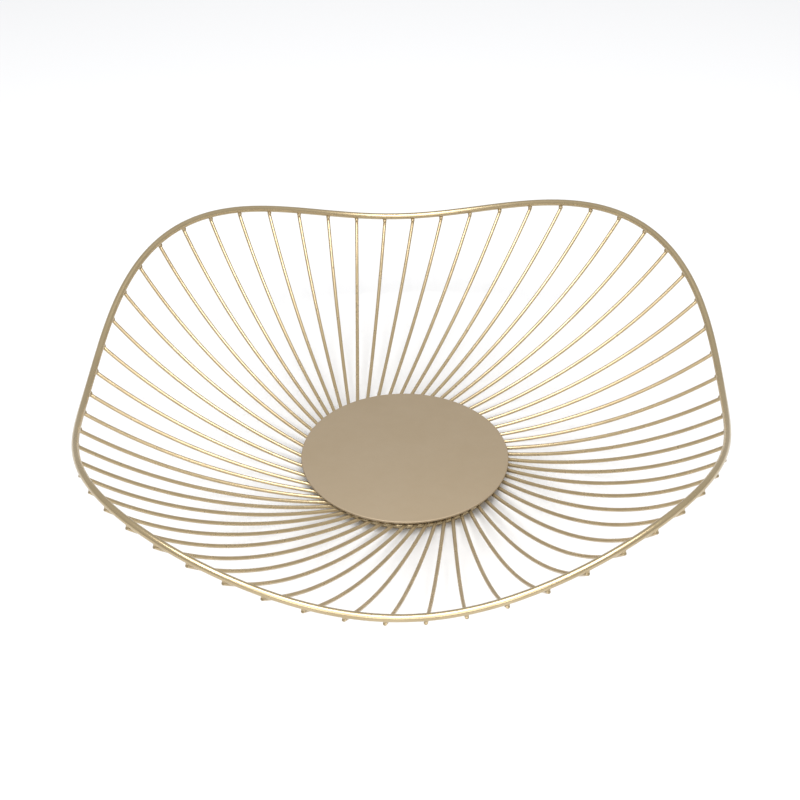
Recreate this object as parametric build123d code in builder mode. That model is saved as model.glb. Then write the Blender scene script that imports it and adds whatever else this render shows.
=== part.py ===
"""Wire produce basket: a shallow bowl of swirled ribs between a base plate and a wavy rim.

Frame: millimetres, +Z up, origin on the table under the centre of the base plate.
The four raised corners of the rim stand at 45 degrees to X and Y.
"""

from build123d import *
import math
import os

os.makedirs("parts", exist_ok=True)

# Wire and sheet stock
rim_wire = 3.2
rib_wire = 1.7
ring_wire = 3.0
plate_thickness = 1.2

# Base
plate_radius = 48.0
plate_edge_round = 0.4
plate_underside = 6.0
ring_radius = 41.5
ring_offset_x = 0.5
ring_offset_y = -2.0

# Rim: a rounded square hoop that rises at its corners and is a little longer one way
rim_radius = 151.2
rim_height = 56.1
corner_reach = 5.0
corner_lift = 10.1
corner_angle = 45.0
long_reach = 5.0
long_angle = 67.0
rim_points = 72
rim_spans = 4

# Ribs
rib_count = 60
ribs_per_node = 2
first_rib_angle = 0.75
swirl = -20.85
foot_run = 4.0
foot_bend_radius = 12.0
start_slope = 7.0
tip_trim = 0.4

# The ribs are set by hand, so they wander in slow waves around the basket.
# Each entry is {waves per turn: (size, phase)}, both in degrees.
foot_waves = {2: (1.6, 125.0), 3: (2.9, -84.0), 4: (1.1, 107.0), 5: (2.7, -67.0)}
tip_waves = {1: (0.5, 138.0), 2: (1.5, 84.0), 3: (0.8, -101.0)}

# Wires that are welded together just touch
weld_gap = 0.02

# The stack: the ring stands on the table, the ribs cross it, and the plate lies on the highest of them
rib_level = ring_wire + weld_gap + rib_wire / 2
rib_pitch = 360.0 / rib_count


def polar(radius, angle, height=0.0):
    """The point at a radius and an angle in degrees around the basket's axis."""
    turn = math.radians(angle)
    return Vector(radius * math.cos(turn), radius * math.sin(turn), height)


def rim_point(angle):
    """The rim wire's centre at an angle around the basket."""
    corner = math.cos(math.radians(4 * (angle - corner_angle)))
    length = math.cos(math.radians(2 * (angle - long_angle)))
    radius = rim_radius + corner_reach * corner + long_reach * length
    return polar(radius, angle, rim_height + corner_lift * corner)


def rim_direction(angle):
    """The direction in which the rim wire runs there."""
    step = 0.01
    return (rim_point(angle + step) - rim_point(angle - step)).normalized()


def wander(waves, angle):
    """How far the hand-set ribs stand from their even spacing, in degrees."""
    return sum(size * math.cos(math.radians(count * angle - phase)) for count, (size, phase) in waves.items())


def make_base_plate():
    with BuildPart() as base_plate:
        with BuildSketch(Plane.XY.offset(plate_underside)):
            Circle(plate_radius)
        extrude(amount=plate_thickness)
        fillet(base_plate.edges(), plate_edge_round)
    base_plate.part.label = "base_plate"
    export_step(base_plate.part, "parts/base_plate.step")


def make_base_ring():
    with BuildPart() as base_ring:
        with BuildSketch(Plane.XZ.offset(-ring_offset_y)):
            with Locations((ring_offset_x + ring_radius, ring_wire / 2)):
                Circle(ring_wire / 2)
        revolve(axis=Axis((ring_offset_x, ring_offset_y, 0), (0, 0, 1)))
    base_ring.part.label = "base_ring"
    export_step(base_ring.part, "parts/base_ring.step")


def make_rim_hoop():
    """The closed hoop, swept in equal spans of one smooth loop that join end to end."""
    loop = Spline([rim_point(360.0 * step / rim_points) for step in range(rim_points)], periodic=True)
    with BuildPart() as rim_hoop:
        for number in range(rim_spans):
            span = loop.trim(number / rim_spans, (number + 1) / rim_spans)
            with BuildLine() as run:
                add(span)
            with BuildSketch(Plane(origin=span @ 0, z_dir=span % 0)):
                Circle(rim_wire / 2)
            sweep(path=run.line, is_frenet=True)
    rim_hoop.part.label = "rim_hoop"
    export_step(rim_hoop.part, "parts/rim_hoop.step")


def rib_curve(plane, reach, rise, rim_run):
    """The slope at the tip and the radius of the arc that takes a rib from its foot to under the rim.

    reach and rise go from the foot to the rim wire's centre, and rim_run is the rim's direction,
    all measured in the rib's own upright plane. The rib passes below the rim wire and touches it.
    """
    start = math.radians(start_slope)
    bend_reach = foot_bend_radius * math.sin(start)
    bend_rise = foot_bend_radius * (1 - math.cos(start))
    wire_gap = (rim_wire + rib_wire) / 2 + weld_gap
    drop = wire_gap
    for attempt in range(5):
        # A circle through the rim's centre, inside the rib's own arc by the drop
        run = reach - bend_reach + drop * math.sin(start)
        climb = rise - bend_rise - drop * math.cos(start)
        tip = 2 * math.atan2(climb, run) - start
        # The rim crosses the rib at a skew, so the wires meet beside the rib's plane
        lean = rim_run.Y * math.cos(tip) - rim_run.X * math.sin(tip)
        drop = wire_gap * math.hypot(lean, rim_run.Z) / abs(rim_run.Z)
    radius = run / (math.sin(tip) - math.sin(start)) + drop
    return math.degrees(tip), radius


def make_rib(angle):
    """One rib: a short level run inside the ring, a small bend on it and one long arc up to the rim."""
    ring_centre = Vector(ring_offset_x, ring_offset_y, 0)
    foot = ring_centre + polar(ring_radius, angle + wander(foot_waves, angle), rib_level)
    tip_angle = angle + swirl + wander(tip_waves, angle)
    top = rim_point(tip_angle)
    heading = Vector(top.X - foot.X, top.Y - foot.Y, 0)
    plane = Plane(origin=foot, x_dir=heading, z_dir=heading.cross(Vector(0, 0, 1)))
    rim_run = plane.to_local_coords(plane.origin + rim_direction(tip_angle))
    tip_slope, radius = rib_curve(plane, heading.length, top.Z - foot.Z, rim_run)
    arc_turn = tip_slope - start_slope - math.degrees(tip_trim / radius)
    with BuildPart() as rib:
        with BuildLine(plane) as path:
            inner = Line((-foot_run, 0), (0, 0))
            bend = JernArc(start=inner @ 1, tangent=inner % 1, radius=foot_bend_radius, arc_size=start_slope)
            JernArc(start=bend @ 1, tangent=bend % 1, radius=radius, arc_size=arc_turn)
        with BuildSketch(Plane(origin=path.line @ 0, z_dir=path.line % 0)):
            Circle(rib_wire / 2)
        sweep(path=path.line)
    return rib.part


def make_rib_node(number):
    """Neighbouring ribs share a node, as separate solids."""
    name = f"rib_pair_{number + 1:02d}"
    with BuildPart() as rib_pair:
        for member in range(ribs_per_node):
            add(make_rib(first_rib_angle + rib_pitch * (number * ribs_per_node + member)))
    rib_pair.part.label = name
    export_step(rib_pair.part, f"parts/{name}.step")


make_base_plate()
make_base_ring()
make_rim_hoop()
for number in range(rib_count // ribs_per_node):
    make_rib_node(number)
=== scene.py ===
# %% [markdown]
# # A wire produce basket in champagne-gold paint
# Sixty thin ribs swirl up from under a flat round plate to a thick wavy rim. Ribs, rim and base ring are
# round steel wire, and all of it is welded together and then painted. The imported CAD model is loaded
# first: it fixes every place and size, and the pieces made below are finer versions of its nodes.

# %% Load the frame
import math

import bmesh
import bpy
from mathutils import Matrix, Vector


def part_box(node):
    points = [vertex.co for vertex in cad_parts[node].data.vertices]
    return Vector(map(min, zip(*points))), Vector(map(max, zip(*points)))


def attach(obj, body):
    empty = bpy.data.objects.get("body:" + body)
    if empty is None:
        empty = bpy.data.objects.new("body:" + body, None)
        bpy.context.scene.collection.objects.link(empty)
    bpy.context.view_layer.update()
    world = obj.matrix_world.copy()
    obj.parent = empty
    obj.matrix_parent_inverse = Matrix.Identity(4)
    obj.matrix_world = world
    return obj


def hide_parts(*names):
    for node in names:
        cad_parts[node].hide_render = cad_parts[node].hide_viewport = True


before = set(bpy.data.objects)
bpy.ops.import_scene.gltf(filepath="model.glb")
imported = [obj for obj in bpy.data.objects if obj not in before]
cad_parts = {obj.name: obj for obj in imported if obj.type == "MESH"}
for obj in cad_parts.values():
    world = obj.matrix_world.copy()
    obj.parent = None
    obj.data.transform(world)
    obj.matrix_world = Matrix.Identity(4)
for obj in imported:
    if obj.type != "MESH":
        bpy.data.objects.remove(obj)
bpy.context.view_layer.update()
print("CAD nodes:", len(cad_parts))

# %% [markdown]
# ## Sizes
# Heights and radii are read from the boxes of the CAD nodes, so that the pieces fit them. Only what a
# box can't tell, such as how the rim waves and how the ribs are spaced, is written down here.

# %% Sizes from the CAD nodes
MM = 0.001
rim_wire = 3.2 * MM
rib_wire = 1.7 * MM
weld_gap = 0.02 * MM

plate_low, plate_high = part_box("base_plate")
ring_low, ring_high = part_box("base_ring")
rim_low, rim_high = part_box("rim_hoop")
ring_wire = ring_high.z - ring_low.z
ring_centre = (ring_low + ring_high) / 2
ring_centre.z = 0
ring_radius = (ring_high.x - ring_low.x - ring_wire) / 2
plate_radius = (plate_high.x - plate_low.x) / 2
rim_height = (rim_low.z + rim_high.z) / 2
corner_lift = (rim_high.z - rim_low.z - rim_wire) / 2
rib_level = ring_high.z + weld_gap + rib_wire / 2
print("plate radius", round(plate_radius, 4), "ring radius", round(ring_radius, 4))
print("rim height", round(rim_height, 4), "corner lift", round(corner_lift, 4))


# %% [markdown]
# ## The rim's path
# The rim is a rounded square: its radius and its height both swing four times in a turn, so each corner
# stands farther out and higher than the sides. A second swing, twice in a turn, makes it a little longer
# one way. A formula like this gives a perfectly smooth loop from very few numbers.

# %% A formula for the rim
rim_radius = 151.2 * MM
corner_reach = 5.0 * MM
long_reach = 5.0 * MM
corner_angle = 45.0
long_angle = 67.0


def wave(count, angle, phase):
    """A swing between -1 and 1 that repeats count times in a turn. Angles are in degrees."""
    return math.cos(math.radians(count * angle - phase))


def polar(radius, angle, height=0.0):
    turn = math.radians(angle)
    return Vector((radius * math.cos(turn), radius * math.sin(turn), height))


def rim_point(angle):
    corner = wave(4, angle - corner_angle, 0)
    radius = rim_radius + corner_reach * corner + long_reach * wave(2, angle - long_angle, 0)
    return polar(radius, angle, rim_height + corner_lift * corner)


def rim_direction(angle):
    """Which way the rim runs at an angle, from two points of it that are very close together."""
    step = 0.01
    return (rim_point(angle + step) - rim_point(angle - step)).normalized()


print("rim corner", tuple(round(c, 4) for c in rim_point(corner_angle)))

# %% [markdown]
# ## The ribs' paths
# Each rib runs level across the base ring, bends up and follows one long arc to the rim. It stays in one
# upright plane, and the plane is turned away from the middle, which is what makes the swirl. The ribs of
# a hand-welded basket are never spaced quite evenly, so slow waves move them along the ring and the rim.
# The tips are cut 0.7 mm shorter than the CAD model's, so that less of them shows past the rim.

# %% Where each rib starts and ends
rib_count = 60
first_rib_angle = 0.75
swirl = -20.85
foot_run = 4.0 * MM
foot_bend_radius = 12.0 * MM
start_slope = math.radians(7.0)
tip_trim = 1.1 * MM
foot_waves = {2: (1.6, 125.0), 3: (2.9, -84.0), 4: (1.1, 107.0), 5: (2.7, -67.0)}
tip_waves = {1: (0.5, 138.0), 2: (1.5, 84.0), 3: (0.8, -101.0)}


def wander(waves, angle):
    return sum(size * wave(count, angle, phase) for count, (size, phase) in waves.items())


def rib_path(number):
    """The rib's upright plane as a matrix, its slope at the tip, its arc's radius and its rim angle."""
    angle = first_rib_angle + number * 360 / rib_count
    foot = ring_centre + polar(ring_radius, angle + wander(foot_waves, angle), rib_level)
    rim_angle = angle + swirl + wander(tip_waves, angle)
    reach = rim_point(rim_angle) - foot
    heading = Vector((reach.x, reach.y, 0))
    out = heading.normalized()
    plane = Matrix((out, Vector((0, 0, 1)).cross(out), (0, 0, 1))).transposed().to_4x4()
    plane.translation = foot
    along = plane.to_3x3().transposed() @ rim_direction(rim_angle)
    slope, radius = arc_to_rim(heading.length, reach.z, along)
    return plane, slope, radius, rim_angle


def arc_to_rim(reach, rise, along):
    """The tip slope and radius of an arc that passes just under the rim wire and touches it."""
    bend_reach = foot_bend_radius * math.sin(start_slope)
    bend_rise = foot_bend_radius * (1 - math.cos(start_slope))
    wire_gap = (rim_wire + rib_wire) / 2 + weld_gap
    drop = wire_gap
    for guess in range(5):  # how far below the rim the arc ends depends on its slope, so this homes in on it
        run = reach - bend_reach + drop * math.sin(start_slope)
        climb = rise - bend_rise - drop * math.cos(start_slope)
        slope = 2 * math.atan2(climb, run) - start_slope
        lean = along.z * math.cos(slope) - along.x * math.sin(slope)
        drop = wire_gap * math.hypot(lean, along.y) / abs(along.y)
    return slope, run / (math.sin(slope) - math.sin(start_slope)) + drop


rib_paths = [rib_path(number) for number in range(rib_count)]
print("rib arc radii", round(min(p[2] for p in rib_paths), 3), "to", round(max(p[2] for p in rib_paths), 3))

# %% [markdown]
# ## Paint effects
# The paint is a satin champagne gold over steel. Three effects make it: a fine sparkle grain, soft cloudy
# patches where the coat is thicker, and tiny dark specks. Each is a shader node group, built once, and
# each material places it with its own values. All of them read Object coordinates, which are metres here.

# %% Helpers for node groups


def new_group(name, inputs, outputs):
    """An empty shader group with float or colour sockets: inputs {name: default}, outputs [name]."""
    group = bpy.data.node_groups.new(name, "ShaderNodeTree")
    for socket, default in inputs.items():
        kind = "NodeSocketFloat" if isinstance(default, float) else "NodeSocketColor"
        made = group.interface.new_socket(socket, in_out="INPUT", socket_type=kind)
        made.default_value = default
    for socket in outputs:
        kind = "NodeSocketColor" if socket == "Color" else "NodeSocketFloat"
        group.interface.new_socket(socket, in_out="OUTPUT", socket_type=kind)
    return group, group.nodes.new("NodeGroupInput"), group.nodes.new("NodeGroupOutput")


def add_node(tree, kind, **settings):
    made = tree.nodes.new(kind)
    for key, value in settings.items():
        setattr(made, key, value)
    return made


def noise_at(tree, scale_socket, detail):
    """A noise texture on Object coordinates whose scale is driven by a socket."""
    place = add_node(tree, "ShaderNodeTexCoord")
    noise = add_node(tree, "ShaderNodeTexNoise")
    noise.inputs["Detail"].default_value = detail
    tree.links.new(place.outputs["Object"], noise.inputs["Vector"])
    tree.links.new(scale_socket, noise.inputs["Scale"])
    return noise


def remap(tree, value_socket, low, high, to_low, to_high):
    """Stretches a band of a value to a new range, and holds it there."""
    ramp = add_node(tree, "ShaderNodeMapRange", clamp=True)
    for socket, number in zip(("From Min", "From Max", "To Min", "To Max"), (low, high, to_low, to_high)):
        ramp.inputs[socket].default_value = number
    tree.links.new(value_socket, ramp.inputs["Value"])
    return ramp.outputs["Result"]


# %% [markdown]
# **Cloudy coat.** Spray paint never lies perfectly even: slow patches are a touch lighter or darker, and
# duller or glossier. One noise drives both the colour mix and the roughness, so they belong together.

# %% The cloudy coat group
coat_group, coat_in, coat_out = new_group(
    "cloudy_coat",
    {
        "Thick Color": (0.5, 0.4, 0.25, 1.0),
        "Thin Color": (0.4, 0.3, 0.2, 1.0),
        "Scale": 60.0,
        "Rough Low": 0.35,
        "Rough High": 0.5,
    },
    ["Color", "Roughness"],
)
clouds = noise_at(coat_group, coat_in.outputs["Scale"], 4.0)
patches = remap(coat_group, clouds.outputs["Fac"], 0.3, 0.7, 0.0, 1.0)
tint = add_node(coat_group, "ShaderNodeMix", data_type="RGBA")
coat_group.links.new(patches, tint.inputs["Factor"])
coat_group.links.new(coat_in.outputs["Thick Color"], tint.inputs["A"])
coat_group.links.new(coat_in.outputs["Thin Color"], tint.inputs["B"])
coat_group.links.new(tint.outputs["Result"], coat_out.inputs["Color"])
gloss = add_node(coat_group, "ShaderNodeMapRange")
coat_group.links.new(patches, gloss.inputs["Value"])
coat_group.links.new(coat_in.outputs["Rough Low"], gloss.inputs["To Min"])
coat_group.links.new(coat_in.outputs["Rough High"], gloss.inputs["To Max"])
coat_group.links.new(gloss.outputs["Result"], coat_out.inputs["Roughness"])
print("group", coat_group.name)

# %% [markdown]
# **Specks.** Here and there a grain of dust sits under the paint and shows as a dark dot. A Voronoi
# texture gives the distance to the nearest of many scattered points: close to a point there is a dot.
# A second noise keeps only some of the dots, so they don't look like a pattern.

# %% The speck group
speck_group, speck_in, speck_out = new_group(
    "paint_specks",
    {"Color": (0.5, 0.4, 0.25, 1.0), "Speck Color": (0.1, 0.07, 0.04, 1.0), "Scale": 90.0, "Size": 0.06},
    ["Color"],
)
place = add_node(speck_group, "ShaderNodeTexCoord")
dots = add_node(speck_group, "ShaderNodeTexVoronoi", feature="F1")
speck_group.links.new(place.outputs["Object"], dots.inputs["Vector"])
speck_group.links.new(speck_in.outputs["Scale"], dots.inputs["Scale"])
near = add_node(speck_group, "ShaderNodeMath", operation="LESS_THAN")
speck_group.links.new(dots.outputs["Distance"], near.inputs[0])
speck_group.links.new(speck_in.outputs["Size"], near.inputs[1])
sparse = noise_at(speck_group, speck_in.outputs["Scale"], 0.0)
kept = remap(speck_group, sparse.outputs["Fac"], 0.5, 0.54, 0.0, 1.0)
speck = add_node(speck_group, "ShaderNodeMath", operation="MULTIPLY")
speck_group.links.new(near.outputs["Value"], speck.inputs[0])
speck_group.links.new(kept, speck.inputs[1])
stain = add_node(speck_group, "ShaderNodeMix", data_type="RGBA")
speck_group.links.new(speck.outputs["Value"], stain.inputs["Factor"])
speck_group.links.new(speck_in.outputs["Color"], stain.inputs["A"])
speck_group.links.new(speck_in.outputs["Speck Color"], stain.inputs["B"])
speck_group.links.new(stain.outputs["Result"], speck_out.inputs["Color"])
print("group", speck_group.name)

# %% [markdown]
# **Grain.** Metallic paint holds tiny flakes, and its skin is a little uneven, like orange peel. Both are
# height: a very fine noise for the flakes, plus a coarser one for the peel, put out as one value that a
# Bump node in the material turns into a normal.

# %% The grain group
grain_group, grain_in, grain_out = new_group(
    "paint_grain", {"Flake Scale": 3000.0, "Peel Scale": 400.0, "Peel": 0.6}, ["Height"]
)
flakes = noise_at(grain_group, grain_in.outputs["Flake Scale"], 1.0)
peel = noise_at(grain_group, grain_in.outputs["Peel Scale"], 2.0)
both = add_node(grain_group, "ShaderNodeMath", operation="MULTIPLY_ADD")
grain_group.links.new(peel.outputs["Fac"], both.inputs[0])
grain_group.links.new(grain_in.outputs["Peel"], both.inputs[1])
grain_group.links.new(flakes.outputs["Fac"], both.inputs[2])
grain_group.links.new(both.outputs["Value"], grain_out.inputs["Height"])
print("group", grain_group.name)

# %% [markdown]
# ## The paint materials
# One recipe makes each finish: cloudy coat, then specks, into the Base Color of a Principled BSDF, with
# the grain as bump. The shader is mostly metallic, because the flakes reflect like metal, but not wholly,
# because the clear binder around them scatters light. The wires also have a thin clear lacquer, the Coat
# layer, which gives their white glints. Thin ribs, thick rim and flat plate each get their own tones.

# %% A recipe for paint
lacquer_roughness = 0.2
relief_depth = 0.2 * MM
speck_darkness = 0.4


def make_paint(name, thick, thin, cloud_scale, rough, metallic, lacquer, speck_size, bump):
    """A satin metallic paint with its own colours, patch size, (low, high) roughness, lacquer and relief."""
    material = bpy.data.materials.new(name)
    material.use_nodes = True
    tree = material.node_tree
    shader = tree.nodes["Principled BSDF"]
    shader.inputs["Metallic"].default_value = metallic
    shader.inputs["Coat Weight"].default_value = lacquer
    shader.inputs["Coat Roughness"].default_value = lacquer_roughness
    coat = add_node(tree, "ShaderNodeGroup", node_tree=coat_group)
    coat.inputs["Thick Color"].default_value = (*thick, 1)
    coat.inputs["Thin Color"].default_value = (*thin, 1)
    coat.inputs["Scale"].default_value = cloud_scale
    coat.inputs["Rough Low"].default_value, coat.inputs["Rough High"].default_value = rough
    specks = add_node(tree, "ShaderNodeGroup", node_tree=speck_group)
    specks.inputs["Size"].default_value = speck_size
    specks.inputs["Speck Color"].default_value = (*[c * speck_darkness for c in thin], 1)
    tree.links.new(coat.outputs["Color"], specks.inputs["Color"])
    tree.links.new(specks.outputs["Color"], shader.inputs["Base Color"])
    tree.links.new(coat.outputs["Roughness"], shader.inputs["Roughness"])
    grain = add_node(tree, "ShaderNodeGroup", node_tree=grain_group)
    relief = add_node(tree, "ShaderNodeBump")
    relief.inputs["Strength"].default_value = bump
    relief.inputs["Distance"].default_value = relief_depth
    tree.links.new(grain.outputs["Height"], relief.inputs["Height"])
    tree.links.new(relief.outputs["Normal"], shader.inputs["Normal"])
    return material


wire_paint = make_paint(
    "wire_paint", thick=(0.50, 0.395, 0.23), thin=(0.43, 0.335, 0.19), cloud_scale=70.0,
    rough=(0.21, 0.30), metallic=0.75, lacquer=0.4, speck_size=0.045, bump=0.05,
)
rib_paint = make_paint(
    "rib_paint", thick=(0.50, 0.39, 0.225), thin=(0.43, 0.33, 0.185), cloud_scale=110.0,
    rough=(0.24, 0.34), metallic=0.7, lacquer=0.4, speck_size=0.03, bump=0.05,
)
plate_paint = make_paint(
    "plate_paint", thick=(0.375, 0.297, 0.20), thin=(0.347, 0.273, 0.18), cloud_scale=60.0,
    rough=(0.48, 0.56), metallic=0.5, lacquer=0.0, speck_size=0.05, bump=0.15,
)
print("paints:", wire_paint.name, rib_paint.name, plate_paint.name)

# %% [markdown]
# ## Small helpers for modelling
# Operators act on whatever is selected, so each piece starts with nothing selected. A finished piece has
# its place written into its mesh, so its object sits at the origin as the CAD nodes do.

# %% Start and finish a piece


def clear_selection():
    bpy.ops.object.select_all(action="DESELECT")


def finish_piece(piece, name, material, slot, *nodes):
    """Applies the piece's place, shades it, paints it, and ties it to the frame."""
    clear_selection()
    piece.select_set(True)
    bpy.context.view_layer.objects.active = piece
    bpy.ops.object.transform_apply(location=True, rotation=True, scale=True)
    bpy.ops.object.shade_smooth_by_angle(angle=math.radians(40))
    piece.name = piece.data.name = name
    piece.data.materials.clear()
    piece.data.materials.append(material)
    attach(piece, "root")
    if nodes:
        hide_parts(*nodes)
    return piece


# %% [markdown]
# ## The base plate
# The plate is a disc of sheet steel with a softly rounded edge, which catches a thin bright line of light.
# A cylinder gives the disc, and a bevel of a few segments rounds its upper and lower edge.

# %% Model the plate
plate_thickness = plate_high.z - plate_low.z
plate_middle = (plate_low.z + plate_high.z) / 2
plate_edge_round = 0.42 * MM
clear_selection()
bpy.ops.mesh.primitive_cylinder_add(
    vertices=160, radius=plate_radius, depth=plate_thickness, location=(0, 0, plate_middle)
)
plate = bpy.context.object
bpy.ops.object.mode_set(mode="EDIT")
bpy.ops.mesh.select_all(action="DESELECT")
sheet = bmesh.from_edit_mesh(plate.data)
for edge in sheet.edges:
    edge.select = len(edge.link_faces) == 2 and any(len(face.verts) > 4 for face in edge.link_faces)
bmesh.update_edit_mesh(plate.data)
bpy.ops.mesh.bevel(offset=plate_edge_round, segments=5, affect="EDGES")
bpy.ops.object.mode_set(mode="OBJECT")
finish_piece(plate, "plate_disc", plate_paint, "plate_paint", "base_plate")
print("plate faces", len(plate.data.polygons))

# %% [markdown]
# ## The base ring
# A closed ring of round wire is exactly what the torus primitive makes, so it only needs its two radii.

# %% Model the ring
clear_selection()
bpy.ops.mesh.primitive_torus_add(
    major_radius=ring_radius, minor_radius=ring_wire / 2, major_segments=180, minor_segments=20,
    location=ring_centre + Vector((0, 0, ring_wire / 2)),
)
ring = bpy.context.object
finish_piece(ring, "ring_wire", wire_paint, "wire_paint", "base_ring")
print("ring faces", len(ring.data.polygons))

# %% [markdown]
# ## The rim
# A torus can't follow the waves, so the rim is a curve: many points from the formula, joined in a closed
# loop, with a round bevel that gives the wire its thickness. Converting it makes an ordinary mesh.

# %% Model the rim
rim_steps = 240
loop = bpy.data.curves.new("rim_loop", "CURVE")
loop.dimensions = "3D"
loop.bevel_depth = rim_wire / 2
loop.bevel_resolution = 6
path = loop.splines.new("POLY")
path.points.add(rim_steps - 1)
for step, point in enumerate(path.points):
    point.co = (*rim_point(step * 360 / rim_steps), 1)
path.use_cyclic_u = True
rim = bpy.data.objects.new("rim", loop)
bpy.context.scene.collection.objects.link(rim)
clear_selection()
rim.select_set(True)
bpy.context.view_layer.objects.active = rim
bpy.ops.object.convert(target="MESH")
rim = bpy.context.object
finish_piece(rim, "rim_wire", wire_paint, "wire_paint", "rim_hoop")
print("rim faces", len(rim.data.polygons))

# %% [markdown]
# ## The weld beads
# Where a rib meets the rim, the weld leaves a small flare of metal on both sides. It is modelled once, as
# a low ball that is stretched along the rib, and each rib gets a copy at its own touching point. The
# copy sits a little inward of that point, where the flare shows, and is sunk partly into the rim.

# %% Model one bead
bead_half_length = 1.5 * MM
bead_half_width = 1.0 * MM
bead_half_height = 0.9 * MM
bead_inward = 1.5 * MM
bead_sunk = 0.4
clear_selection()
bpy.ops.mesh.primitive_uv_sphere_add(segments=14, ring_count=8, radius=1.0, location=(0, 0, 0))
bead_master = bpy.context.object
bpy.ops.object.mode_set(mode="EDIT")
bpy.ops.mesh.select_all(action="SELECT")
bpy.ops.transform.resize(value=(bead_half_length, bead_half_width, bead_half_height))
bpy.ops.object.mode_set(mode="OBJECT")
print("bead faces", len(bead_master.data.polygons))


def place_bead(point, along, toward):
    """A copy of the bead at a point, long side along one direction and flat side facing another."""
    bead = bead_master.copy()
    bead.data = bead_master.data.copy()
    bpy.context.scene.collection.objects.link(bead)
    side = toward.cross(along).normalized()
    turn = Matrix((along.normalized(), side, along.cross(side).normalized())).transposed().to_4x4()
    turn.translation = point
    bead.matrix_world = turn
    return bead


# %% [markdown]
# ## One rib
# A rib is made as it would be bent by hand. A round cross-section is drawn at its inner end, pulled
# straight across the ring, spun through the small bend, and spun again about the long arc's centre.
# The last face stays as the square-cut tip, and a tiny bevel takes the sharpness off.

# %% Model a rib from its path
rib_sides = 14
tip_bevel = 0.18 * MM
bend_steps = 2
arc_steps = 30


def spin_end(angle, centre, steps):
    """Spins the selected end face upwards in the rib's own plane, about a centre above the wire."""
    bpy.ops.mesh.spin(steps=steps, angle=angle, center=centre, axis=(0, 1, 0))


def model_rib(number):
    """One rib in its place, with its touching point, its direction there and its angle on the rim."""
    plane, slope, radius, rim_angle = rib_paths[number]
    clear_selection()
    bpy.ops.mesh.primitive_circle_add(
        vertices=rib_sides, radius=rib_wire / 2, fill_type="NGON",
        location=(-foot_run, 0, 0), rotation=(0, math.pi / 2, 0),
    )
    rib = bpy.context.object
    bpy.ops.object.transform_apply(location=True, rotation=True, scale=True)
    bpy.ops.object.mode_set(mode="EDIT")
    bpy.ops.mesh.select_all(action="SELECT")
    bpy.ops.mesh.extrude_region_move(TRANSFORM_OT_translate={"value": (foot_run, 0, 0)})
    spin_end(start_slope, (0, 0, foot_bend_radius), bend_steps)
    bend_end = Vector((math.sin(start_slope), 0, 1 - math.cos(start_slope))) * foot_bend_radius
    centre = bend_end + Vector((-math.sin(start_slope), 0, math.cos(start_slope))) * radius
    spin_end(slope - start_slope - tip_trim / radius, centre, arc_steps)
    bpy.ops.mesh.bevel(offset=tip_bevel, segments=2, affect="EDGES")
    bpy.ops.mesh.select_all(action="SELECT")
    bpy.ops.mesh.remove_doubles(threshold=0.01 * MM)
    bpy.ops.mesh.normals_make_consistent(inside=False)
    bpy.ops.object.mode_set(mode="OBJECT")
    rib.matrix_world = plane
    touch = centre + Vector((math.sin(slope), 0, -math.cos(slope))) * radius
    return rib, plane @ touch, plane.to_3x3() @ Vector((math.cos(slope), 0, math.sin(slope))), rim_angle


first_rib, touch, rib_direction, rim_angle = model_rib(0)
rim_gap = (touch - rim_point(rim_angle)).length - (rim_wire + rib_wire) / 2
print("first rib: faces", len(first_rib.data.polygons), "gap to the rim in mm", round(rim_gap / MM, 3))
bpy.data.objects.remove(first_rib)

# %% [markdown]
# ## All the ribs
# Neighbouring ribs go in one piece, as in the CAD model, and each rib brings its weld bead with it.

# %% Model the ribs in pairs
rib_faces = 0
for pair in range(rib_count // 2):
    members = []
    for number in (2 * pair, 2 * pair + 1):
        rib, touch, rib_direction, rim_angle = model_rib(number)
        centre = rim_point(rim_angle)
        bead_place = touch.lerp(centre, bead_sunk) - rib_direction * bead_inward
        members += [rib, place_bead(bead_place, rib_direction, centre - touch)]
    clear_selection()
    for member in members:
        member.select_set(True)
    bpy.context.view_layer.objects.active = members[0]
    bpy.ops.object.join()
    piece = bpy.context.object
    order = f"{pair + 1:02d}"
    finish_piece(piece, "rib_wires_" + order, rib_paint, "rib_paint", "rib_pair_" + order)
    rib_faces += len(piece.data.polygons)
bpy.data.objects.remove(bead_master)
print("rib faces in all", rib_faces)

# %% [markdown]
# ## The floor
# The basket stands on a plain pale floor, many times its own size. It is nearly matt, so it shows only
# soft shadows.

# %% Floor
clear_selection()
bpy.ops.mesh.primitive_plane_add(size=6.0, location=(0, 0, 0))
floor = bpy.context.object
floor.name = "floor"
floor_paint = bpy.data.materials.new("floor_paint")
floor_paint.use_nodes = True
floor_shader = floor_paint.node_tree.nodes["Principled BSDF"]
floor_shader.inputs["Base Color"].default_value = (0.74, 0.74, 0.74, 1)
floor_shader.inputs["Roughness"].default_value = 0.9
floor_shader.inputs["Specular IOR Level"].default_value = 0.1
floor.data.materials.append(floor_paint)
print("floor width", floor.dimensions.x)

# %% [markdown]
# ## The lights
# Big soft lights stand above and in front, so that the front and back of the rim shine while its sides,
# which face away from them, keep the deeper gold. The world adds an even, slightly cool fill. The
# Standard view transform shows colours as they are, without the softer film look that dims pale tones.

# %% Lights


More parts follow.
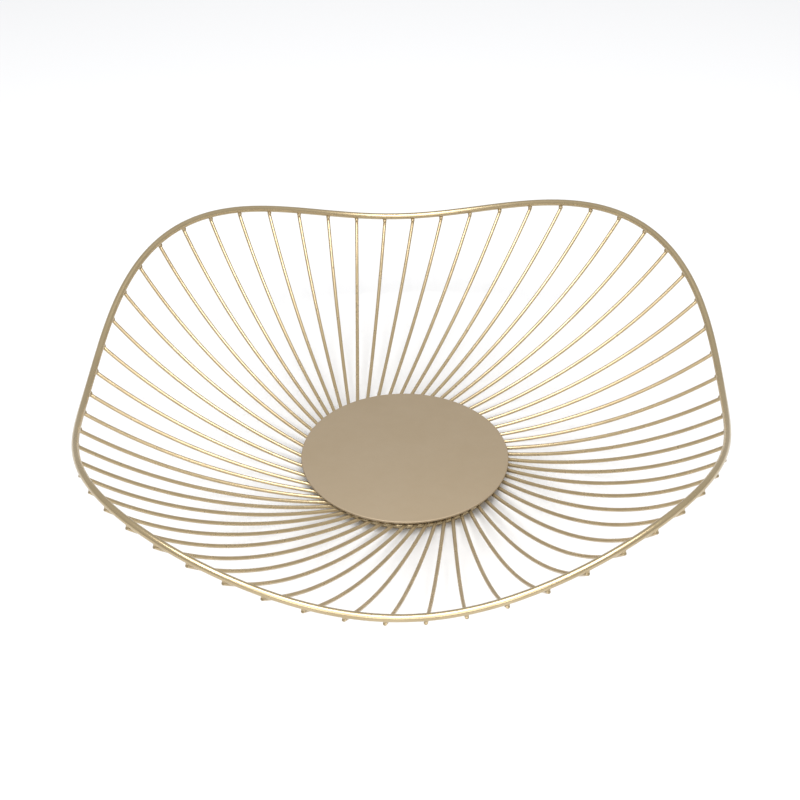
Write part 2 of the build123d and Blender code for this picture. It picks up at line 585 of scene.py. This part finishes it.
def soft_light(name, place, target, size, power):
    """A square area light at a place, turned to face a target."""
    lamp = bpy.data.lights.new(name, "AREA")
    lamp.size, lamp.energy = size, power
    holder = bpy.data.objects.new(name, lamp)
    holder.location = place
    holder.rotation_euler = (Vector(target) - Vector(place)).to_track_quat("-Z", "Y").to_euler()
    bpy.context.scene.collection.objects.link(holder)
    return holder


soft_light("overhead", (0, -0.35, 1.4), (0, 0, 0), 1.1, 27)
soft_light("front", (0, -1.5, 0.8), (0, 0, 0.05), 0.9, 7)
world = bpy.data.worlds.new("studio")
world.use_nodes = True
world.node_tree.nodes["Background"].inputs["Color"].default_value = (0.96, 0.97, 1.0, 1)
world.node_tree.nodes["Background"].inputs["Strength"].default_value = 0.5
bpy.context.scene.world = world
bpy.context.scene.view_settings.view_transform = "Standard"

# %% [markdown]
# ## The camera
# The camera looks down at the basket from the front, a little under forty degrees. Its axes are built
# from three angles: how far round it stands, how steeply it looks down, and a very small roll. It is
# placed by stepping back from the plate's middle, then a little aside and up to frame the basket.

# %% Camera
look_around = math.radians(-0.947)
look_down = math.radians(36.687)
roll = math.radians(0.3037)
step_aside = -2.28 * MM
step_up = 25.4 * MM
step_back = 832.8 * MM
right = Vector((math.cos(look_around), math.sin(look_around), 0))
ahead = Vector((-math.sin(look_around), math.cos(look_around), 0))
forward = ahead * math.cos(look_down) - Vector((0, 0, math.sin(look_down)))
down = -ahead * math.sin(look_down) - Vector((0, 0, math.cos(look_down)))
camera_x = right * math.cos(roll) - down * math.sin(roll)
camera_y = -(right * math.sin(roll) + down * math.cos(roll))
camera_data = bpy.data.cameras.new("camera")
camera_data.lens = 80.82
camera_data.sensor_width = 36
camera = bpy.data.objects.new("camera", camera_data)
turn = Matrix((camera_x, camera_y, -forward)).transposed().to_4x4()
plate_top = Vector((0, 0, plate_high.z))
turn.translation = plate_top + camera_x * step_aside + camera_y * step_up - forward * step_back
camera.matrix_world = turn
bpy.context.scene.collection.objects.link(camera)
bpy.context.scene.camera = camera
print("camera at", tuple(round(c, 3) for c in turn.translation))
